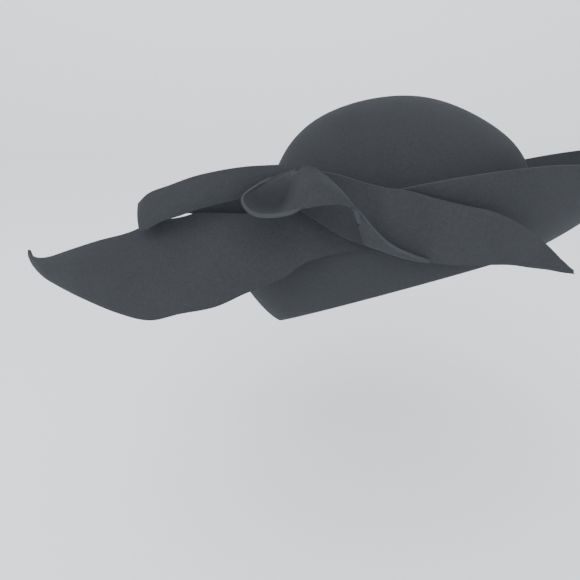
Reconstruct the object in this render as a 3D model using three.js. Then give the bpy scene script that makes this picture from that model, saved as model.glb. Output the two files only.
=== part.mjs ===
// Black felt hat with a wide turned-up brim and a folded felt bow on its front.
// Millimetres. It is modelled level, +Z up, and then leant as it is worn.
import * as THREE from "three";

// Sizes
const FELT = 2.2; // wall of crown and brim
const BOW_FELT = 2; // wall of the bow's strips
const HEAD_WIDE = 194; // across the fold round the head opening, left to right
const HEAD_DEEP = 212; // the same, front to back
const CROWN_HIGH = 147; // middle of the felt over the opening
const BRIM_REACH = 232; // head centre to the brim's tip on the right
const BRIM_RISE = 100; // height that the brim's edge is measured against
const BRIM_FLAT = 0.4; // share of the rise that is a straight slope, the rest curls up
const BOW_SPAN = 340; // bow's length from tip to tip
const DISH_SKEW = 1.7; // how far the twist's hollow is drawn to its lower edge
const PINCH_DEEP = 4.5; // dent down the crown's right side
const PINCH_AT = 12; // degrees from the right, towards the back
const PINCH_WIDE = 15; // degrees to either side
const LEAN_SIDE = 15.6; // degrees that the worn hat leans to its left in this frame
const LEAN_BACK = 22; // degrees that it leans back

const AROUND = 64; // facets around crown and brim
const CROWN_RINGS = 16;
const FOLD_RINGS = 3;
const BRIM_RINGS = 8;
const STRIP_STEPS = 34; // facets along a strip of the bow
const STRIP_ACROSS = 6;

const RAD = Math.PI / 180;
const headX = -HEAD_WIDE * 0.062;
const headY = -HEAD_DEEP * 0.0094;
const bowForward = BRIM_REACH * 0.4; // the bow stands on the brim's front

// Turns a table with named columns into a list of rows.
function rows(names, table) {
  return table.map((values) => Object.fromEntries(names.map((name, i) => [name, values[i]])));
}

// Crown, from its top down. Heights and lean are shares of CROWN_HIGH, the rest shares of
// half the head opening. Lean is how much higher the right end is than the middle.
const CROWN = rows(["high", "lean", "x", "y", "wide", "deep"], [
  [1.000, 0.000, -0.041, 0.038, 0.006, 0.006],
  [0.980, -0.007, -0.052, 0.038, 0.289, 0.264],
  [0.912, -0.027, 0.005, 0.019, 0.562, 0.509],
  [0.782, -0.054, 0.041, 0.000, 0.794, 0.717],
  [0.605, -0.061, 0.052, -0.019, 0.979, 0.849],
  [0.408, -0.034, 0.036, -0.019, 1.036, 0.915],
  [0.204, -0.007, -0.052, -0.019, 0.979, 0.934],
  [0.075, 0.000, -0.124, -0.019, 0.938, 0.943],
]);

// Free edge of the brim around the head, anticlockwise from the right.
const BRIM_EDGE = rows(["degrees", "reach", "rise"], [
  [0, 1.000, 0.56],
  [30, 0.927, 0.84],
  [60, 0.724, 0.98],
  [90, 0.612, 0.93],
  [120, 0.595, 0.84],
  [150, 0.560, 0.72],
  [180, 0.534, 0.63],
  [210, 0.552, 0.60],
  [240, 0.595, 0.59],
  [270, 0.621, 0.55],
  [300, 0.655, 0.48],
  [330, 0.784, 0.38],
]);

// Strips of the bow: a row for each section, its upper and lower edge and how far its
// middle stands forward, in shares of BOW_SPAN. Y counts from where the bow stands on the brim.
const EDGES = ["upX", "upY", "upZ", "lowX", "lowY", "lowZ", "belly"];

// Left tail, from its curled tip to the end that lies on the brim.
const LEFT_TAIL = rows(EDGES, [
  [-0.777, 0.096, 0.282, -0.780, 0.096, 0.270, 0.000],
  [-0.763, 0.073, 0.263, -0.764, 0.067, 0.244, 0.003],
  [-0.738, 0.044, 0.248, -0.734, 0.026, 0.211, 0.009],
  [-0.709, 0.026, 0.242, -0.701, -0.004, 0.183, 0.015],
  [-0.660, 0.002, 0.240, -0.646, -0.045, 0.141, 0.021],
  [-0.598, -0.021, 0.238, -0.583, -0.080, 0.097, 0.024],
  [-0.539, -0.039, 0.234, -0.527, -0.101, 0.068, 0.024],
  [-0.484, -0.051, 0.238, -0.471, -0.115, 0.064, 0.024],
  [-0.434, -0.065, 0.231, -0.409, -0.124, 0.059, 0.021],
  [-0.400, -0.083, 0.227, -0.354, -0.127, 0.067, 0.015],
  [-0.355, -0.098, 0.212, -0.320, -0.126, 0.070, 0.012],
  [-0.314, -0.105, 0.199, -0.283, -0.118, 0.077, 0.012],
  [-0.272, -0.108, 0.196, -0.240, -0.108, 0.092, 0.009],
  [-0.221, -0.115, 0.181, -0.185, -0.108, 0.092, 0.003],
  [-0.165, -0.119, 0.133, -0.118, -0.109, 0.082, 0.000],
]);

// Left loop, from the knot out along the front, round the fold and back behind.
const LEFT_LOOP = rows(EDGES, [
  [-0.197, -0.126, 0.249, -0.230, -0.126, 0.233, 0.000],
  [-0.244, -0.130, 0.261, -0.281, -0.130, 0.225, 0.006],
  [-0.305, -0.148, 0.269, -0.336, -0.142, 0.224, 0.012],
  [-0.372, -0.159, 0.272, -0.387, -0.148, 0.224, 0.012],
  [-0.425, -0.154, 0.270, -0.421, -0.145, 0.222, 0.012],
  [-0.461, -0.136, 0.272, -0.453, -0.133, 0.223, 0.009],
  [-0.485, -0.112, 0.268, -0.486, -0.115, 0.220, 0.009],
  [-0.494, -0.083, 0.270, -0.504, -0.089, 0.225, 0.009],
  [-0.475, -0.059, 0.270, -0.485, -0.063, 0.238, 0.003],
  [-0.426, -0.046, 0.278, -0.424, -0.058, 0.239, 0.000],
  [-0.396, -0.043, 0.280, -0.402, -0.056, 0.230, 0.000],
  [-0.358, -0.042, 0.279, -0.362, -0.056, 0.218, 0.000],
  [-0.304, -0.051, 0.274, -0.316, -0.062, 0.205, 0.000],
  [-0.251, -0.065, 0.265, -0.268, -0.071, 0.214, 0.000],
  [-0.207, -0.086, 0.255, -0.225, -0.086, 0.237, 0.000],
]);

// Right tail, from under the twist to its pointed tip.
const RIGHT_TAIL = rows(EDGES, [
  [-0.210, -0.133, 0.242, -0.230, -0.130, 0.181, -0.003],
  [-0.181, -0.138, 0.232, -0.207, -0.132, 0.155, -0.006],
  [-0.149, -0.147, 0.214, -0.176, -0.136, 0.120, -0.006],
  [-0.118, -0.158, 0.191, -0.143, -0.138, 0.093, -0.003],
  [-0.088, -0.174, 0.170, -0.109, -0.142, 0.071, 0.000],
  [-0.053, -0.173, 0.155, -0.070, -0.133, 0.049, 0.000],
  [-0.015, -0.176, 0.132, -0.032, -0.130, 0.032, 0.006],
  [0.025, -0.171, 0.110, 0.008, -0.127, 0.018, 0.009],
  [0.073, -0.159, 0.087, 0.055, -0.124, 0.006, 0.012],
  [0.111, -0.145, 0.060, 0.091, -0.121, -0.004, 0.009],
  [0.141, -0.133, 0.031, 0.125, -0.115, -0.018, 0.006],
  [0.160, -0.127, 0.006, 0.155, -0.112, -0.030, 0.003],
  [0.178, -0.121, -0.020, 0.178, -0.112, -0.042, 0.000],
  [0.194, -0.115, -0.045, 0.196, -0.112, -0.049, 0.000],
]);

// Twist, from the pinch round the dished cup, over the tongue and down to its tapered end.
const TWIST = rows(EDGES, [
  [-0.215, -0.148, 0.240, -0.227, -0.151, 0.234, 0.000],
  [-0.217, -0.151, 0.240, -0.266, -0.161, 0.236, -0.003],
  [-0.220, -0.156, 0.237, -0.295, -0.177, 0.226, -0.009],
  [-0.222, -0.161, 0.235, -0.313, -0.198, 0.212, -0.018],
  [-0.223, -0.167, 0.232, -0.311, -0.221, 0.189, -0.035],
  [-0.222, -0.174, 0.230, -0.296, -0.242, 0.171, -0.050],
  [-0.219, -0.186, 0.229, -0.273, -0.254, 0.162, -0.053],
  [-0.214, -0.201, 0.227, -0.251, -0.259, 0.159, -0.018],
  [-0.206, -0.215, 0.228, -0.228, -0.262, 0.160, 0.012],
  [-0.195, -0.221, 0.221, -0.199, -0.262, 0.158, 0.018],
  [-0.181, -0.221, 0.204, -0.170, -0.256, 0.151, 0.015],
  [-0.167, -0.221, 0.181, -0.154, -0.239, 0.138, 0.009],
  [-0.154, -0.218, 0.157, -0.149, -0.215, 0.124, 0.006],
  [-0.141, -0.212, 0.134, -0.147, -0.195, 0.110, 0.006],
  [-0.125, -0.201, 0.103, -0.142, -0.177, 0.091, 0.006],
  [-0.104, -0.183, 0.076, -0.120, -0.162, 0.077, 0.003],
  [-0.074, -0.162, 0.054, -0.086, -0.148, 0.056, 0.003],
  [-0.042, -0.140, 0.037, -0.045, -0.137, 0.036, 0.000],
]);

// Smooth curve through four neighbouring values.
function curve(a, b, c, d, f) {
  return 0.5 * (2 * b + (c - a) * f + (2 * a - 5 * b + 4 * c - d) * f * f + (3 * b - a - 3 * c + d) * f ** 3);
}

// Row at a place along an open table, from 0 at its first row to 1 at its last.
function along(table, place) {
  const last = table.length - 1;
  const at = Math.min(Math.floor(place * last), last - 1);
  const f = place * last - at;
  const out = {};
  for (const name of Object.keys(table[0])) {
    const b = table[at][name];
    const c = table[at + 1][name];
    const a = at > 0 ? table[at - 1][name] : 2 * b - c;
    const d = at + 2 <= last ? table[at + 2][name] : 2 * c - b;
    out[name] = curve(a, b, c, d, f);
  }
  return out;
}

// The same for a table that closes on itself, by angle.
function around(table, degrees) {
  const count = table.length;
  const place = (((degrees % 360) + 360) % 360) / (360 / count);
  const at = Math.floor(place);
  const pick = (step, name) => table[(at + step + count) % count][name];
  const out = {};
  for (const name of ["reach", "rise"])
    out[name] = curve(pick(-1, name), pick(0, name), pick(1, name), pick(2, name), place - at);
  return out;
}

function bell(x) {
  return Math.exp(-x * x);
}

// Middle of the crown's wall: share 0 at the top, 1 at its lowest ring.
function crownPoint(share, angle) {
  const ring = along(CROWN, share);
  const degrees = ((angle / RAD + 180) % 360) - 180;
  const dent = PINCH_DEEP * bell((degrees - PINCH_AT) / PINCH_WIDE) * bell((share - 0.45) / 0.22);
  const wide = (ring.wide * HEAD_WIDE) / 2 - dent;
  const deep = (ring.deep * HEAD_DEEP) / 2 - dent;
  return new THREE.Vector3(
    (ring.x * HEAD_WIDE) / 2 + wide * Math.cos(angle),
    (ring.y * HEAD_DEEP) / 2 + deep * Math.sin(angle),
    (ring.high + ring.lean * Math.cos(angle)) * CROWN_HIGH,
  );
}

// Distance from the head's centre to the fold.
function foldReach(angle) {
  const a = HEAD_WIDE / 2;
  const b = HEAD_DEEP / 2;
  return (a * b) / Math.hypot(b * Math.cos(angle), a * Math.sin(angle));
}

function fromHead(reach, angle, height) {
  return new THREE.Vector3(headX + reach * Math.cos(angle), headY + reach * Math.sin(angle), height);
}

// Middle of the wall in the fold: share 0 at the crown's lowest ring, 1 at the bottom.
function foldPoint(share, angle) {
  const top = crownPoint(1, angle);
  const inner = Math.hypot(top.x - headX, top.y - headY);
  const turn = (share * Math.PI) / 2;
  const reach = inner + (foldReach(angle) - inner) * (1 - Math.cos(turn));
  return fromHead(reach, angle, top.z + (FELT / 2 - top.z) * Math.sin(turn));
}

// Middle of the brim: share 0 at the fold, 1 at the free edge.
function brimPoint(share, angle) {
  const edge = around(BRIM_EDGE, angle / RAD);
  const inner = foldReach(angle);
  const reach = inner + (edge.reach * BRIM_REACH - inner) * share;
  const rise = BRIM_FLAT * share + (1 - BRIM_FLAT) * share * share;
  return fromHead(reach, angle, FELT / 2 + (edge.rise * BRIM_RISE - FELT / 2) * rise);
}

// Middle of a bow strip: place along it, and share across from its upper edge.
function stripPoint(table, place, share, skew) {
  const row = along(table, place);
  const bent = share ** skew;
  const point = new THREE.Vector3(
    row.upX + (row.lowX - row.upX) * share,
    row.upY + (row.lowY - row.upY) * share - 4 * bent * (1 - bent) * row.belly,
    row.upZ + (row.lowZ - row.upZ) * share,
  );
  point.multiplyScalar(BOW_SPAN);
  point.y -= bowForward;
  return point;
}

// Unit normals of a grid of points, from its neighbours.
function normalsOf(grid, closed) {
  const count = grid[0].length;
  return grid.map((line, i) => line.map((point, j) => {
    const before = grid[Math.max(i - 1, 0)][j];
    const after = grid[Math.min(i + 1, grid.length - 1)][j];
    const left = closed ? line[(j + count - 1) % count] : line[Math.max(j - 1, 0)];
    const right = closed ? line[(j + 1) % count] : line[Math.min(j + 1, count - 1)];
    const down = after.clone().sub(before);
    const across = right.clone().sub(left);
    return down.cross(across).normalize();
  }));
}

// Closes a grid of points into a felt wall. A closed grid joins round and its first line is
// the crown's top.
function feltWall(grid, thick, closed) {
  const normals = normalsOf(grid, closed);
  const count = grid[0].length;
  const points = [];
  const faces = [];
  const sides = [1, -1].map((side) => grid.map((line, i) => {
    if (closed && i === 0) {
      points.push(line[0].clone().add(new THREE.Vector3(0, 0, (-side * thick) / 2)));
      return line.map(() => points.length - 1);
    }
    return line.map((point, j) => {
      points.push(point.clone().addScaledVector(normals[i][j], (side * thick) / 2));
      return points.length - 1;
    });
  }));
  const face = (a, b, c) => {
    if (a !== b && b !== c && c !== a) faces.push(a, b, c);
  };
  const quad = (a, b, c, d) => {
    face(a, b, c);
    face(a, c, d);
  };
  const [over, under] = sides;
  const steps = closed ? count : count - 1;
  for (let i = 0; i < grid.length - 1; i++)
    for (let j = 0; j < steps; j++) {
      const k = (j + 1) % count;
      quad(over[i][j], over[i + 1][j], over[i + 1][k], over[i][k]);
      quad(under[i][k], under[i + 1][k], under[i + 1][j], under[i][j]);
    }
  const last = grid.length - 1;
  for (let j = 0; j < steps; j++) {
    const k = (j + 1) % count;
    quad(over[last][k], over[last][j], under[last][j], under[last][k]);
    if (!closed) quad(over[0][j], over[0][k], under[0][k], under[0][j]);
  }
  if (!closed)
    for (let i = 0; i < last; i++) {
      quad(over[i + 1][0], over[i][0], under[i][0], under[i + 1][0]);
      quad(over[i][steps], over[i + 1][steps], under[i + 1][steps], under[i][steps]);
    }
  return { points, faces };
}

// The level hat is turned so that this direction of its own points up, with the inside of
// the crown's top at the origin, where the head carries it.
const wornUp = new THREE.Vector3(Math.tan(LEAN_SIDE * RAD), -Math.tan(LEAN_BACK * RAD), 1).normalize();
const lean = new THREE.Quaternion().setFromUnitVectors(wornUp, new THREE.Vector3(0, 0, 1));
const seat = crownPoint(0, 0).setZ(CROWN_HIGH - FELT / 2);
seat.x = (CROWN[0].x * HEAD_WIDE) / 2;

function worn(point) {
  return point.clone().sub(seat).applyQuaternion(lean);
}

function meshOf(name, wall, colour) {
  const places = wall.points.flatMap((point) => worn(point).toArray());
  const geometry = new THREE.BufferGeometry();
  geometry.setAttribute("position", new THREE.Float32BufferAttribute(places, 3));
  geometry.setIndex(wall.faces);
  geometry.computeVertexNormals();
  const felt = new THREE.MeshStandardMaterial({ color: colour, roughness: 0.95, metalness: 0 });
  const mesh = new THREE.Mesh(geometry, felt);
  mesh.name = name;
  return mesh;
}

function bodyGrid() {
  const grid = [];
  const line = (point) => Array.from({ length: AROUND }, (_, j) => point((j / AROUND) * 2 * Math.PI));
  for (let i = 0; i <= CROWN_RINGS; i++)
    grid.push(line((angle) => crownPoint(i / CROWN_RINGS, angle)));
  for (let i = 1; i <= FOLD_RINGS; i++)
    grid.push(line((angle) => foldPoint(i / FOLD_RINGS, angle)));
  for (let i = 1; i <= BRIM_RINGS; i++)
    grid.push(line((angle) => brimPoint(i / BRIM_RINGS, angle)));
  return grid;
}

function stripGrid(table, skew) {
  return Array.from({ length: STRIP_STEPS + 1 }, (_, i) =>
    Array.from({ length: STRIP_ACROSS + 1 }, (_, j) =>
      stripPoint(table, i / STRIP_STEPS, j / STRIP_ACROSS, skew)));
}

const group = new THREE.Group();
group.name = "felt_hat";
group.add(meshOf("crown_and_brim", feltWall(bodyGrid(), FELT, true), 0x1d1f22));
group.add(meshOf("bow_left_tail", feltWall(stripGrid(LEFT_TAIL, 1), BOW_FELT, false), 0x1f2124));
group.add(meshOf("bow_left_loop", feltWall(stripGrid(LEFT_LOOP, 1), BOW_FELT, false), 0x1e2023));
group.add(meshOf("bow_right_tail", feltWall(stripGrid(RIGHT_TAIL, 1), BOW_FELT, false), 0x1f2124));
group.add(meshOf("bow_twist", feltWall(stripGrid(TWIST, DISH_SKEW), BOW_FELT, false), 0x202225));

export default group;
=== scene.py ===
"""Black felt hat with a wide turned-up brim and a folded felt bow on its front."""

import math

import bpy
import numpy as np
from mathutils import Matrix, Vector


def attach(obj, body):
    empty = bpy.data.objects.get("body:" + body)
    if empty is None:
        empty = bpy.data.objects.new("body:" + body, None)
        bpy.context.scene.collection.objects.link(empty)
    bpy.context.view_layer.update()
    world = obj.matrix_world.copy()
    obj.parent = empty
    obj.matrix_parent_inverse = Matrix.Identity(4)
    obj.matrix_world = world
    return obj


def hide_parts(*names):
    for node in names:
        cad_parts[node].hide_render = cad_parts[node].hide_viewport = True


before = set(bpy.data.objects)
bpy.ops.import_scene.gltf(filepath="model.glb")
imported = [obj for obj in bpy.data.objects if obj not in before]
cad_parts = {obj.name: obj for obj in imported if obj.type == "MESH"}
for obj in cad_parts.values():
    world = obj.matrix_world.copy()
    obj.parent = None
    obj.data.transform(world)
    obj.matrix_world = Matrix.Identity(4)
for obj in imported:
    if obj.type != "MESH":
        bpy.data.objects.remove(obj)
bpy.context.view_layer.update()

bl_info = {
    "name": "Felt hat with a bow",
    "version": (1, 0, 0),
    "blender": (4, 5, 0),
    "location": "3D View > Sidebar > Felt hat",
    "description": "Builds a black felt hat with a turned-up brim and a folded felt bow",
    "category": "Object",
}

MM = 0.001

# Grid steps round the head, down the crown, round the fold and out along the brim. The brim's last
# two steps are given as shares, close to its free edge.
ROUND_STEPS = 256
CROWN_STEPS = 61
FOLD_STEPS = 11
BRIM_STEPS = 35
BRIM_EDGE_STEPS = [0.985, 1.0]

# Grid steps along and across a strip of the bow, and how far they are drawn to its ends and edges.
ALONG_STEPS, ALONG_TIGHT = 221, 0.6
ACROSS_STEPS, ACROSS_TIGHT = 41, 0.9

# Centre of the head opening in shares of its width and depth.
HEAD_CENTRE = (-0.062, -0.0094)

# Dent in the crown's side: its middle in degrees from the right and as a share of the way down, and
# its spread in each.
DENT_AT = (12, 0.45)
DENT_SPREAD = (15, 0.22)

# How far forward the bow stands, as a share of the brim's reach.
BOW_FORWARD = 0.4

# Rounding of a cut edge as a share of the wall, and the angle from which an edge counts as cut.
EDGE_ROUND = 0.34
CUT_ANGLE = math.radians(50)

# Painted highlight on the felt's cut edges, where they catch the light: how much paler they are
# drawn than the face, per step.
EDGE_HIGHLIGHT = 0.04

# Glint on the left tail's upper edge beside the twist: how pale, where along the tail, how wide.
GLINT_PALE, GLINT_AT, GLINT_SPREAD = 11, 0.755, 0.035

# Camera: focal length and picture width in pixels, place, degrees of downward tilt and of turn.
FOCAL_PIXELS = 600
PICTURE_PIXELS = 580
CAMERA_PLACE = (-0.0771, -0.5041, 0.0307)
CAMERA_TILT = 19.98
CAMERA_TURN = -2.56

# Stage: height of the floor, its front and the start of its sweep, radius and height of the sweep,
# and half its width.
FLOOR = -0.30
FLOOR_FRONT = -2.5
SWEEP_START = 2.2
SWEEP_RADIUS = 0.8
SWEEP_HIGH = 4.5
STAGE_HALF = 4

# Lights: name, place, size and power, and the spot that they face.
LIGHTS = (
    ("front", (-0.25, -2.3, 0.75), 2.6, 70),
    ("top", (0.2, -0.3, 1.8), 2.2, 10),
    ("side", (-1.8, -0.8, 0.3), 2.0, 8),
)
LIT_SPOT = (0, -0.05, -0.08)

# Crown, from its top down. Heights and lean are shares of the crown's height, the rest shares
# of half the head opening: high, lean, x, y, wide, deep.
CROWN = np.array([
    (1.000, 0.000, -0.041, 0.038, 0.006, 0.006),
    (0.980, -0.007, -0.052, 0.038, 0.289, 0.264),
    (0.912, -0.027, 0.005, 0.019, 0.562, 0.509),
    (0.782, -0.054, 0.041, 0.000, 0.794, 0.717),
    (0.605, -0.061, 0.052, -0.019, 0.979, 0.849),
    (0.408, -0.034, 0.036, -0.019, 1.036, 0.915),
    (0.204, -0.007, -0.052, -0.019, 0.979, 0.934),
    (0.075, 0.000, -0.124, -0.019, 0.938, 0.943),
])

# Free edge of the brim around the head, anticlockwise from the right: degrees, reach, rise.
BRIM_EDGE = np.array([
    (0, 1.000, 0.56),
    (30, 0.927, 0.84),
    (60, 0.724, 0.98),
    (90, 0.612, 0.93),
    (120, 0.595, 0.84),
    (150, 0.560, 0.72),
    (180, 0.534, 0.63),
    (210, 0.552, 0.60),
    (240, 0.595, 0.59),
    (270, 0.621, 0.55),
    (300, 0.655, 0.48),
    (330, 0.784, 0.38),
])

# Strips of the bow in shares of its span, a row for each section: the upper edge's x, y and z,
# the lower edge's x, y and z, and how far the middle stands forward. Y counts from where the bow
# stands on the brim's front.
LEFT_TAIL = np.array([
    (-0.777, 0.096, 0.282, -0.780, 0.096, 0.270, 0.000),
    (-0.763, 0.073, 0.263, -0.764, 0.067, 0.244, 0.003),
    (-0.738, 0.044, 0.248, -0.734, 0.026, 0.211, 0.009),
    (-0.709, 0.026, 0.242, -0.701, -0.004, 0.183, 0.015),
    (-0.660, 0.002, 0.240, -0.646, -0.045, 0.141, 0.021),
    (-0.598, -0.021, 0.238, -0.583, -0.080, 0.097, 0.024),
    (-0.539, -0.039, 0.234, -0.527, -0.101, 0.068, 0.024),
    (-0.484, -0.051, 0.238, -0.471, -0.115, 0.064, 0.024),
    (-0.434, -0.065, 0.231, -0.409, -0.124, 0.059, 0.021),
    (-0.400, -0.083, 0.227, -0.354, -0.127, 0.067, 0.015),
    (-0.355, -0.098, 0.212, -0.320, -0.126, 0.070, 0.012),
    (-0.314, -0.105, 0.199, -0.283, -0.118, 0.077, 0.012),
    (-0.272, -0.108, 0.196, -0.240, -0.108, 0.092, 0.009),
    (-0.221, -0.115, 0.181, -0.185, -0.108, 0.092, 0.003),
    (-0.165, -0.119, 0.133, -0.118, -0.109, 0.082, 0.000),
])
LEFT_LOOP = np.array([
    (-0.197, -0.126, 0.249, -0.230, -0.126, 0.233, 0.000),
    (-0.244, -0.130, 0.261, -0.281, -0.130, 0.225, 0.006),
    (-0.305, -0.148, 0.269, -0.336, -0.142, 0.224, 0.012),
    (-0.372, -0.159, 0.272, -0.387, -0.148, 0.224, 0.012),
    (-0.425, -0.154, 0.270, -0.421, -0.145, 0.222, 0.012),
    (-0.461, -0.136, 0.272, -0.453, -0.133, 0.223, 0.009),
    (-0.485, -0.112, 0.268, -0.486, -0.115, 0.220, 0.009),
    (-0.494, -0.083, 0.270, -0.504, -0.089, 0.225, 0.009),
    (-0.475, -0.059, 0.270, -0.485, -0.063, 0.238, 0.003),
    (-0.426, -0.046, 0.278, -0.424, -0.058, 0.239, 0.000),
    (-0.396, -0.043, 0.280, -0.402, -0.056, 0.230, 0.000),
    (-0.358, -0.042, 0.279, -0.362, -0.056, 0.218, 0.000),
    (-0.304, -0.051, 0.274, -0.316, -0.062, 0.205, 0.000),
    (-0.251, -0.065, 0.265, -0.268, -0.071, 0.214, 0.000),
    (-0.207, -0.086, 0.255, -0.225, -0.086, 0.237, 0.000),
])
RIGHT_TAIL = np.array([
    (-0.210, -0.133, 0.242, -0.230, -0.130, 0.181, -0.003),
    (-0.181, -0.138, 0.232, -0.207, -0.132, 0.155, -0.006),
    (-0.149, -0.147, 0.214, -0.176, -0.136, 0.120, -0.006),
    (-0.118, -0.158, 0.191, -0.143, -0.138, 0.093, -0.003),
    (-0.088, -0.174, 0.170, -0.109, -0.142, 0.071, 0.000),
    (-0.053, -0.173, 0.155, -0.070, -0.133, 0.049, 0.000),
    (-0.015, -0.176, 0.132, -0.032, -0.130, 0.032, 0.006),
    (0.025, -0.171, 0.110, 0.008, -0.127, 0.018, 0.009),
    (0.073, -0.159, 0.087, 0.055, -0.124, 0.006, 0.012),
    (0.111, -0.145, 0.060, 0.091, -0.121, -0.004, 0.009),
    (0.141, -0.133, 0.031, 0.125, -0.115, -0.018, 0.006),
    (0.160, -0.127, 0.006, 0.155, -0.112, -0.030, 0.003),
    (0.178, -0.121, -0.020, 0.178, -0.112, -0.042, 0.000),
    (0.194, -0.115, -0.045, 0.196, -0.112, -0.049, 0.000),
])
TWIST = np.array([
    (-0.215, -0.148, 0.240, -0.227, -0.151, 0.234, 0.000),
    (-0.217, -0.151, 0.240, -0.266, -0.161, 0.236, -0.003),
    (-0.220, -0.156, 0.237, -0.295, -0.177, 0.226, -0.009),
    (-0.222, -0.161, 0.235, -0.313, -0.198, 0.212, -0.018),
    (-0.223, -0.167, 0.232, -0.311, -0.221, 0.189, -0.035),
    (-0.222, -0.174, 0.230, -0.296, -0.242, 0.171, -0.050),
    (-0.219, -0.186, 0.229, -0.273, -0.254, 0.162, -0.053),
    (-0.214, -0.201, 0.227, -0.251, -0.259, 0.159, -0.018),
    (-0.206, -0.215, 0.228, -0.228, -0.262, 0.160, 0.012),
    (-0.195, -0.221, 0.221, -0.199, -0.262, 0.158, 0.018),
    (-0.181, -0.221, 0.204, -0.170, -0.256, 0.151, 0.015),
    (-0.167, -0.221, 0.181, -0.154, -0.239, 0.138, 0.009),
    (-0.154, -0.218, 0.157, -0.149, -0.215, 0.124, 0.006),
    (-0.141, -0.212, 0.134, -0.147, -0.195, 0.110, 0.006),
    (-0.125, -0.201, 0.103, -0.142, -0.177, 0.091, 0.006),
    (-0.104, -0.183, 0.076, -0.120, -0.162, 0.077, 0.003),
    (-0.074, -0.162, 0.054, -0.086, -0.148, 0.056, 0.003),
    (-0.042, -0.140, 0.037, -0.045, -0.137, 0.036, 0.000),
])


# Settings


class FeltHatSizes(bpy.types.PropertyGroup):
    """Sizes of the hat."""

    felt: bpy.props.FloatProperty(
        name="Felt", description="Wall of crown and brim", default=2.2 * MM, unit="LENGTH"
    )
    bow_felt: bpy.props.FloatProperty(
        name="Bow felt", description="Wall of the bow's strips", default=2.0 * MM, unit="LENGTH"
    )
    head_wide: bpy.props.FloatProperty(
        name="Head opening, wide", description="Across the fold, left to right",
        default=194 * MM, unit="LENGTH",
    )
    head_deep: bpy.props.FloatProperty(
        name="Head opening, deep", description="Across the fold, front to back",
        default=212 * MM, unit="LENGTH",
    )
    crown_high: bpy.props.FloatProperty(
        name="Crown height", description="Middle of the felt over the opening",
        default=147 * MM, unit="LENGTH",
    )
    brim_reach: bpy.props.FloatProperty(
        name="Brim reach", description="Head centre to the brim's tip",
        default=232 * MM, unit="LENGTH",
    )
    brim_rise: bpy.props.FloatProperty(
        name="Brim rise", description="Height that the brim's edge is measured against",
        default=100 * MM, unit="LENGTH",
    )
    brim_flat: bpy.props.FloatProperty(
        name="Brim slope", description="Share of the rise that is a straight slope",
        default=0.4, min=0, max=1,
    )
    bow_span: bpy.props.FloatProperty(
        name="Bow span", description="Bow's length from tip to tip",
        default=340 * MM, unit="LENGTH",
    )
    dish_skew: bpy.props.FloatProperty(
        name="Dish skew", description="How far the twist's hollow is drawn to its lower edge",
        default=1.7, min=1, max=3,
    )
    pinch_deep: bpy.props.FloatProperty(
        name="Pinch", description="Dent down the crown's right side",
        default=4.5 * MM, unit="LENGTH",
    )
    lean_side: bpy.props.FloatProperty(
        name="Lean to the side", description="How far the worn hat leans to the side",
        default=math.radians(15.6), subtype="ANGLE",
    )
    lean_back: bpy.props.FloatProperty(
        name="Lean back", description="How far the worn hat leans back",
        default=math.radians(22), subtype="ANGLE",
    )


class FeltHatLooks(bpy.types.PropertyGroup):
    """Colours and finish of the hat and its stage."""

    felt_colour: bpy.props.FloatVectorProperty(
        name="Felt", description="Colour of the hat's felt", subtype="COLOR", size=3,
        min=0, max=1, default=(0.0268, 0.0289, 0.0322),
    )
    bow_colour: bpy.props.FloatVectorProperty(
        name="Bow felt", description="Colour of the bow's felt", subtype="COLOR", size=3,
        min=0, max=1, default=(0.0268, 0.0289, 0.0322),
    )
    sheen: bpy.props.FloatProperty(
        name="Nap", description="How much light the felt's nap catches", default=0.03, min=0, max=1
    )
    mottle: bpy.props.FloatProperty(
        name="Mottle", description="How unevenly the wool took the dye", default=0.42, min=0, max=1
    )
    stage_colour: bpy.props.FloatVectorProperty(
        name="Stage", description="Colour of floor and backdrop", subtype="COLOR", size=3,
        min=0, max=1, default=(0.92, 0.935, 0.955),
    )


# Curves and surfaces


def between(a, b, c, d, f):
    """Catmull-Rom cubic from b to c at share f, with a before them and d after."""
    return 0.5 * (2 * b + (c - a) * f + (2 * a - 5 * b + 4 * c - d) * f**2
                  + (3 * b - a - 3 * c + d) * f**3)


def along(table, places):
    """Rows of an open table at places from 0 to 1: cubic pieces, with the ends carried on."""
    padded = np.vstack([2 * table[0] - table[1], table, 2 * table[-1] - table[-2]])
    last = len(table) - 1
    at = np.clip(np.floor(places * last).astype(int), 0, last - 1)
    f = (places * last - at)[..., None]
    return between(padded[at], padded[at + 1], padded[at + 2], padded[at + 3], f)


def around(table, angle):
    """Rows of a closed table at angles in radians: the same cubic, joined end to end."""
    count = len(table)
    place = (angle % (2 * np.pi)) / (2 * np.pi) * count
    at = np.floor(place).astype(int)
    f = (place - at)[..., None]
    pick = [table[(at + step) % count] for step in (-1, 0, 1, 2)]
    return between(*pick, f)


def head_centre(sizes):
    """Centre of the head opening."""
    return HEAD_CENTRE[0] * sizes.head_wide, HEAD_CENTRE[1] * sizes.head_deep


def crown_points(sizes, share, angle):
    """Ellipse round the crown at each share of its height, less a bell-shaped dent on the right."""
    ring = along(CROWN, share)
    high, lean, x, y, wide, deep = np.moveaxis(ring, -1, 0)
    degrees = (np.degrees(angle) + 180) % 360 - 180
    turned = (degrees - DENT_AT[0]) / DENT_SPREAD[0]
    sunk = (share - DENT_AT[1]) / DENT_SPREAD[1]
    dent = sizes.pinch_deep * np.exp(-(turned**2) - sunk**2)
    half_w, half_d = sizes.head_wide / 2, sizes.head_deep / 2
    return np.stack([
        x * half_w + (wide * half_w - dent) * np.cos(angle),
        y * half_d + (deep * half_d - dent) * np.sin(angle),
        (high + lean * np.cos(angle)) * sizes.crown_high,
    ], -1)


def fold_reach(sizes, angle):
    """Radius of the opening's ellipse at each angle."""
    a, b = sizes.head_wide / 2, sizes.head_deep / 2
    return a * b / np.hypot(b * np.cos(angle), a * np.sin(angle))


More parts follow.
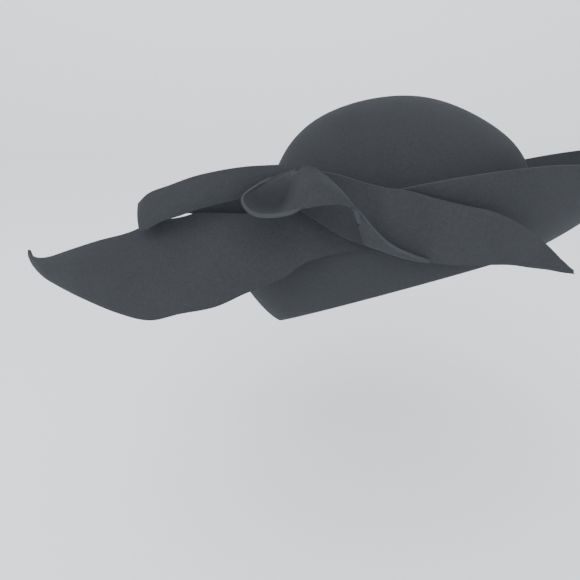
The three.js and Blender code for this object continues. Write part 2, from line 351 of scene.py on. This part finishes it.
def from_head(sizes, reach, angle, height):
    """Polar place around the head's centre."""
    x, y = head_centre(sizes)
    return np.stack([x + reach * np.cos(angle), y + reach * np.sin(angle), height], -1)


def fold_points(sizes, share, angle):
    """Quarter of an ellipse from the crown's lowest ring down to the fold."""
    top = crown_points(sizes, np.ones_like(share), angle)
    x, y = head_centre(sizes)
    inner = np.hypot(top[..., 0] - x, top[..., 1] - y)
    turn = share * np.pi / 2
    reach = inner + (fold_reach(sizes, angle) - inner) * (1 - np.cos(turn))
    low = sizes.felt / 2
    return from_head(sizes, reach, angle, top[..., 2] + (low - top[..., 2]) * np.sin(turn))


def brim_points(sizes, share, angle):
    """Brim from the fold to its free edge: reach grows evenly, height as a slope plus a square."""
    edge = around(BRIM_EDGE, angle)
    inner = fold_reach(sizes, angle)
    reach = inner + (edge[..., 1] * sizes.brim_reach - inner) * share
    rise = sizes.brim_flat * share + (1 - sizes.brim_flat) * share**2
    low = sizes.felt / 2
    return from_head(sizes, reach, angle, low + (edge[..., 2] * sizes.brim_rise - low) * rise)


def strip_points(sizes, table, place, share, skew):
    """Straight line between a strip's two edges, bellied by a parabola drawn to the lower edge."""
    row = along(table, place)
    up, low, belly = row[..., 0:3], row[..., 3:6], row[..., 6]
    points = up + (low - up) * share[..., None]
    points[..., 1] -= 4 * share**skew * (1 - share**skew) * belly
    return points * sizes.bow_span - np.array([0, sizes.brim_reach * BOW_FORWARD, 0])


def worn(sizes, points):
    """The level hat moved to its seat at the origin and turned so that it leans as worn."""
    seat = np.array([CROWN[0, 2] * sizes.head_wide / 2, CROWN[0, 3] * sizes.head_deep / 2,
                     sizes.crown_high - sizes.felt / 2])
    up = Vector((math.tan(sizes.lean_side), -math.tan(sizes.lean_back), 1)).normalized()
    turn = np.array(up.rotation_difference(Vector((0, 0, 1))).to_matrix())
    return (points - seat) @ turn.T


def eased(count, tight):
    """Shares from 0 to 1 whose first and last steps are drawn together, by a sine."""
    even = np.linspace(0, 1, count)
    return even - tight * np.sin(2 * np.pi * even) / (2 * np.pi)


# Meshes


def grid_faces(rows, columns, closed):
    """Quads of a grid as index rows, joined round if it is closed."""
    index = np.arange(rows * columns).reshape(rows, columns)
    here = index if closed else index[:, :-1]
    beside = np.roll(index, -1, 1) if closed else index[:, 1:]
    return np.stack([here[:-1], here[1:], beside[1:], beside[:-1]], -1).reshape(-1, 4)


def new_piece(name, points, faces, highlight_mask, wall, material, node):
    """Makes a felt piece from the middle of its wall and gives it thickness and soft edges."""
    mesh = bpy.data.meshes.new(name)
    mesh.from_pydata(points.reshape(-1, 3).tolist(), [], faces)
    # Painted highlight on the cut edges, kept on each point for the material.
    attribute = mesh.attributes.new("painted_edge_highlight", "FLOAT", "POINT")
    attribute.data.foreach_set("value", highlight_mask.reshape(-1).astype(np.float32))
    mesh.polygons.foreach_set("use_smooth", [True] * len(mesh.polygons))
    mesh.materials.append(material)
    mesh.update()
    piece = bpy.data.objects.new(name, mesh)
    bpy.context.scene.collection.objects.link(piece)
    solid = piece.modifiers.new("wall", "SOLIDIFY")
    solid.thickness = wall
    solid.offset = 0
    solid.use_quality_normals = True
    round_off = piece.modifiers.new("soft_edge", "BEVEL")
    round_off.width = wall * EDGE_ROUND
    round_off.segments = 2
    round_off.limit_method = "ANGLE"
    round_off.angle_limit = CUT_ANGLE
    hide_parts(node)
    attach(piece, "root")
    return piece


# Materials


def nap_and_highlight_group():
    """Felt nap: matted fibres as fine and coarse noise, with a painted highlight on the cut edges.
    """
    name = "felt_nap_and_edge_highlight"
    if name in bpy.data.node_groups:
        return bpy.data.node_groups[name]
    group = bpy.data.node_groups.new(name, "ShaderNodeTree")
    face = group.interface
    for label, kind in (("Vector", "NodeSocketVector"), ("Colour", "NodeSocketColor"),
                        ("Mottle", "NodeSocketFloat"), ("Edge highlight", "NodeSocketFloat")):
        face.new_socket(label, in_out="INPUT", socket_type=kind)
    for label, kind in (("Colour", "NodeSocketColor"), ("Roughness", "NodeSocketFloat"),
                        ("Height", "NodeSocketFloat")):
        face.new_socket(label, in_out="OUTPUT", socket_type=kind)
    nodes, links = group.nodes, group.links
    start, end = nodes.new("NodeGroupInput"), nodes.new("NodeGroupOutput")

    def noise(scale, detail, rough, warp):
        node = nodes.new("ShaderNodeTexNoise")
        node.inputs["Scale"].default_value = scale
        node.inputs["Detail"].default_value = detail
        node.inputs["Roughness"].default_value = rough
        node.inputs["Distortion"].default_value = warp
        links.new(start.outputs["Vector"], node.inputs["Vector"])
        return node.outputs["Fac"]

    def maths(kind, a, b):
        node = nodes.new("ShaderNodeMath")
        node.operation = kind
        for socket, value in zip(node.inputs, (a, b)):
            if isinstance(value, (int, float)):
                socket.default_value = value
            else:
                links.new(value, socket)
        return node.outputs[0]

    fibres = noise(scale=1700, detail=4, rough=0.7, warp=1.6)
    tufts = noise(scale=620, detail=3, rough=0.6, warp=0.8)
    cloud = noise(scale=28, detail=3, rough=0.55, warp=0.3)
    coarse = maths("ADD", maths("MULTIPLY", cloud, 0.5), maths("MULTIPLY", tufts, 1.2))
    centred = maths("SUBTRACT", maths("ADD", coarse, maths("MULTIPLY", fibres, 1.6)), 1.65)
    mottle_tone = maths("ADD", maths("MULTIPLY", centred, start.outputs["Mottle"]), 1.0)
    # Painted highlight: the cut edges are drawn paler, on top of the mottle.
    mottle_and_edge_highlight = maths("ADD", maths("MULTIPLY", start.outputs["Edge highlight"], EDGE_HIGHLIGHT), mottle_tone)
    tint = nodes.new("ShaderNodeVectorMath")
    tint.operation = "SCALE"
    links.new(start.outputs["Colour"], tint.inputs[0])
    links.new(mottle_and_edge_highlight, tint.inputs["Scale"])
    links.new(tint.outputs[0], end.inputs["Colour"])
    links.new(maths("ADD", maths("MULTIPLY", tufts, 0.12), 0.84), end.inputs["Roughness"])
    height = maths("ADD", maths("MULTIPLY", fibres, 0.6), maths("MULTIPLY", tufts, 0.4))
    links.new(height, end.inputs["Height"])
    return group


def felt_material(name, colour, sheen, mottle):
    """Matt wool felt with a soft sheen and a painted highlight on its cut edges."""
    material = bpy.data.materials.new(name)
    material.use_nodes = True
    nodes, links = material.node_tree.nodes, material.node_tree.links
    shader = nodes["Principled BSDF"]
    place = nodes.new("ShaderNodeTexCoord")
    # Painted highlight on the cut edges, read from the point attribute.
    edge = nodes.new("ShaderNodeAttribute")
    edge.attribute_name = "painted_edge_highlight"
    nap = nodes.new("ShaderNodeGroup")
    nap.node_tree = nap_and_highlight_group()
    nap.inputs["Colour"].default_value = (*colour, 1)
    nap.inputs["Mottle"].default_value = mottle
    links.new(place.outputs["Object"], nap.inputs["Vector"])
    links.new(edge.outputs["Fac"], nap.inputs["Edge highlight"])
    links.new(nap.outputs["Colour"], shader.inputs["Base Color"])
    links.new(nap.outputs["Roughness"], shader.inputs["Roughness"])
    bump = nodes.new("ShaderNodeBump")
    bump.inputs["Strength"].default_value = 0.35
    bump.inputs["Distance"].default_value = 0.0006
    links.new(nap.outputs["Height"], bump.inputs["Height"])
    links.new(bump.outputs["Normal"], shader.inputs["Normal"])
    shader.inputs["Sheen Weight"].default_value = sheen
    shader.inputs["Sheen Roughness"].default_value = 0.55
    shader.inputs["Sheen Tint"].default_value = (0.80, 0.86, 0.92, 1)
    shader.inputs["Specular IOR Level"].default_value = 0.06
    return material


def plain_material(name, colour, roughness):
    """Plain painted surface."""
    material = bpy.data.materials.new(name)
    material.use_nodes = True
    shader = material.node_tree.nodes["Principled BSDF"]
    shader.inputs["Base Color"].default_value = (*colour, 1)
    shader.inputs["Roughness"].default_value = roughness
    return material


# Operators


class FELTHAT_OT_camera(bpy.types.Operator):
    """Adds the camera at the viewing angle of the worn hat."""

    bl_idname = "felthat.camera"
    bl_label = "Camera"

    def execute(self, context):
        data = bpy.data.cameras.new("camera")
        data.sensor_width = 36
        data.lens = data.sensor_width * FOCAL_PIXELS / PICTURE_PIXELS
        data.clip_start = 0.01
        camera = bpy.data.objects.new("camera", data)
        context.scene.collection.objects.link(camera)
        camera.location = CAMERA_PLACE
        camera.rotation_euler = (math.radians(90 - CAMERA_TILT), 0, math.radians(CAMERA_TURN))
        context.scene.camera = camera
        return {"FINISHED"}


class FELTHAT_OT_crown_and_brim(bpy.types.Operator):
    """Makes crown and brim as one felt wall, from the crown's top round the fold to the edge."""

    bl_idname = "felthat.crown_and_brim"
    bl_label = "Crown and brim"

    def execute(self, context):
        sizes, looks = context.scene.felt_hat_sizes, context.scene.felt_hat_looks
        angle = np.linspace(0, 2 * np.pi, ROUND_STEPS, endpoint=False)
        crown_share = np.linspace(0, 1, CROWN_STEPS)
        fold_share = np.linspace(0, 1, FOLD_STEPS)[1:]
        brim_share = np.append(np.linspace(0, 1, BRIM_STEPS)[1:-1], BRIM_EDGE_STEPS)
        parts = [(crown_points, crown_share), (fold_points, fold_share), (brim_points, brim_share)]
        rings = np.concatenate([
            shape(sizes, *np.meshgrid(share, angle, indexing="ij")) for shape, share in parts
        ])
        top = rings[0].mean(0)
        points = np.vstack([top, rings[1:].reshape(-1, 3)])
        # Painted highlight along the brim's free edge, the last ring.
        highlight_mask = np.zeros(len(points))
        highlight_mask[-ROUND_STEPS:] = 1
        quads = grid_faces(len(rings) - 1, ROUND_STEPS, True) + 1
        first = np.arange(ROUND_STEPS) + 1
        fan = np.stack([np.zeros(ROUND_STEPS, int), first, np.roll(first, -1)], -1)
        faces = fan.tolist() + quads.tolist()
        felt = felt_material("hat_felt", looks.felt_colour, looks.sheen, looks.mottle)
        new_piece("felt_crown_and_brim", worn(sizes, points), faces, highlight_mask, sizes.felt, felt,
                  "crown_and_brim")
        return {"FINISHED"}


class FELTHAT_OT_bow(bpy.types.Operator):
    """Makes the bow's two tails, its loop and its twist from felt strips."""

    bl_idname = "felthat.bow"
    bl_label = "Bow"

    def execute(self, context):
        sizes, looks = context.scene.felt_hat_sizes, context.scene.felt_hat_looks
        felt = felt_material("bow_felt", looks.bow_colour, looks.sheen, looks.mottle)
        place, share = eased(ALONG_STEPS, ALONG_TIGHT), eased(ACROSS_STEPS, ACROSS_TIGHT)
        place, share = np.meshgrid(place, share, indexing="ij")
        # Name, table, skew of the belly, and how many steps of painted highlight the long cut edges
        # get.
        strips = [
            ("left_tail", LEFT_TAIL, 1, 1),
            ("left_loop", LEFT_LOOP, 1, 5),
            ("right_tail", RIGHT_TAIL, 1, 1),
            ("twist", TWIST, sizes.dish_skew, 8),
        ]
        for name, table, skew, pale in strips:
            points = worn(sizes, strip_points(sizes, table, place, share, skew))
            # Painted highlight on the strip's cut edges: one step at the ends, the long edges as
            # listed.
            highlight_mask = np.zeros(place.shape)
            highlight_mask[[0, -1], :] = 1
            highlight_mask[:, [0, -1]] = pale
            # Painted glint on the left tail's upper edge beside the twist.
            if name == "left_tail":
                highlight_mask[:, 0] += GLINT_PALE * np.exp(-(((place[:, 0] - GLINT_AT) / GLINT_SPREAD) ** 2))
            piece = new_piece("felt_" + name, points, grid_faces(*place.shape, False).tolist(),
                              highlight_mask, sizes.bow_felt, felt, "bow_" + name)
        return {"FINISHED"}


class FELTHAT_OT_stage(bpy.types.Operator):
    """Adds a pale floor that sweeps up into a backdrop, and soft studio light."""

    bl_idname = "felthat.stage"
    bl_label = "Stage"

    def execute(self, context):
        looks = context.scene.felt_hat_looks
        turn = np.linspace(0, np.pi / 2, 13)
        curve_back = SWEEP_START + SWEEP_RADIUS * np.sin(turn)
        curve_up = FLOOR + SWEEP_RADIUS * (1 - np.cos(turn))
        deep = np.concatenate([[FLOOR_FRONT], curve_back, [SWEEP_START + SWEEP_RADIUS]])
        high = np.concatenate([[FLOOR], curve_up, [FLOOR + SWEEP_HIGH]])
        x = np.linspace(-STAGE_HALF, STAGE_HALF, 5)
        across, back = np.meshgrid(x, deep)
        points = np.stack([across, back, np.meshgrid(x, high)[1]], -1)
        faces = grid_faces(*points.shape[:2], False)
        mesh = bpy.data.meshes.new("sweep")
        mesh.from_pydata(points.reshape(-1, 3).tolist(), [], faces.tolist())
        mesh.polygons.foreach_set("use_smooth", [True] * len(mesh.polygons))
        mesh.materials.append(plain_material("stage_paint", looks.stage_colour, 0.6))
        sweep = bpy.data.objects.new("sweep", mesh)
        context.scene.collection.objects.link(sweep)
        world = bpy.data.worlds.new("room")
        world.use_nodes = True
        nodes, links = world.node_tree.nodes, world.node_tree.links
        room = nodes["Background"]
        room.inputs["Color"].default_value = (0.95, 0.97, 1.0, 1)
        place = nodes.new("ShaderNodeTexCoord")
        split = nodes.new("ShaderNodeSeparateXYZ")
        dim = nodes.new("ShaderNodeMapRange")
        dim.inputs["From Min"].default_value = 0.1
        dim.inputs["To Min"].default_value = 1.6
        dim.inputs["To Max"].default_value = 1.1
        links.new(place.outputs["Generated"], split.inputs[0])
        links.new(split.outputs["Z"], dim.inputs["Value"])
        links.new(dim.outputs["Result"], room.inputs["Strength"])
        context.scene.world = world
        for name, place, size, power in LIGHTS:
            data = bpy.data.lights.new(name, "AREA")
            data.energy = power
            data.size = size
            lamp = bpy.data.objects.new(name, data)
            lamp.location = place
            aim = Vector(LIT_SPOT) - Vector(place)
            lamp.rotation_mode = "QUATERNION"
            lamp.rotation_quaternion = aim.to_track_quat("-Z", "Y")
            context.scene.collection.objects.link(lamp)
        return {"FINISHED"}


class FELTHAT_PT_panel(bpy.types.Panel):
    """Lists the hat's settings and the operators that build it."""

    bl_label = "Felt hat"
    bl_idname = "FELTHAT_PT_panel"
    bl_space_type = "VIEW_3D"
    bl_region_type = "UI"
    bl_category = "Felt hat"

    def draw(self, context):
        for group in (context.scene.felt_hat_sizes, context.scene.felt_hat_looks):
            for name in group.__annotations__:
                self.layout.prop(group, name)
        for operator in OPERATORS:
            self.layout.operator(operator.bl_idname)


OPERATORS = (FELTHAT_OT_camera, FELTHAT_OT_crown_and_brim, FELTHAT_OT_bow, FELTHAT_OT_stage)
CLASSES = (FeltHatSizes, FeltHatLooks, *OPERATORS, FELTHAT_PT_panel)


def register():
    """Registers the classes and puts the settings on the scene."""
    for cls in CLASSES:
        bpy.utils.register_class(cls)
    bpy.types.Scene.felt_hat_sizes = bpy.props.PointerProperty(type=FeltHatSizes)
    bpy.types.Scene.felt_hat_looks = bpy.props.PointerProperty(type=FeltHatLooks)


def unregister():
    """Takes the settings and the classes away again."""
    del bpy.types.Scene.felt_hat_looks
    del bpy.types.Scene.felt_hat_sizes
    for cls in reversed(CLASSES):
        bpy.utils.unregister_class(cls)


def main():
    """Builds the hat and its stage."""
    register()
    bpy.ops.felthat.camera()
    bpy.ops.felthat.crown_and_brim()
    bpy.ops.felthat.bow()
    bpy.ops.felthat.stage()


if __name__ == "__main__":
    main()
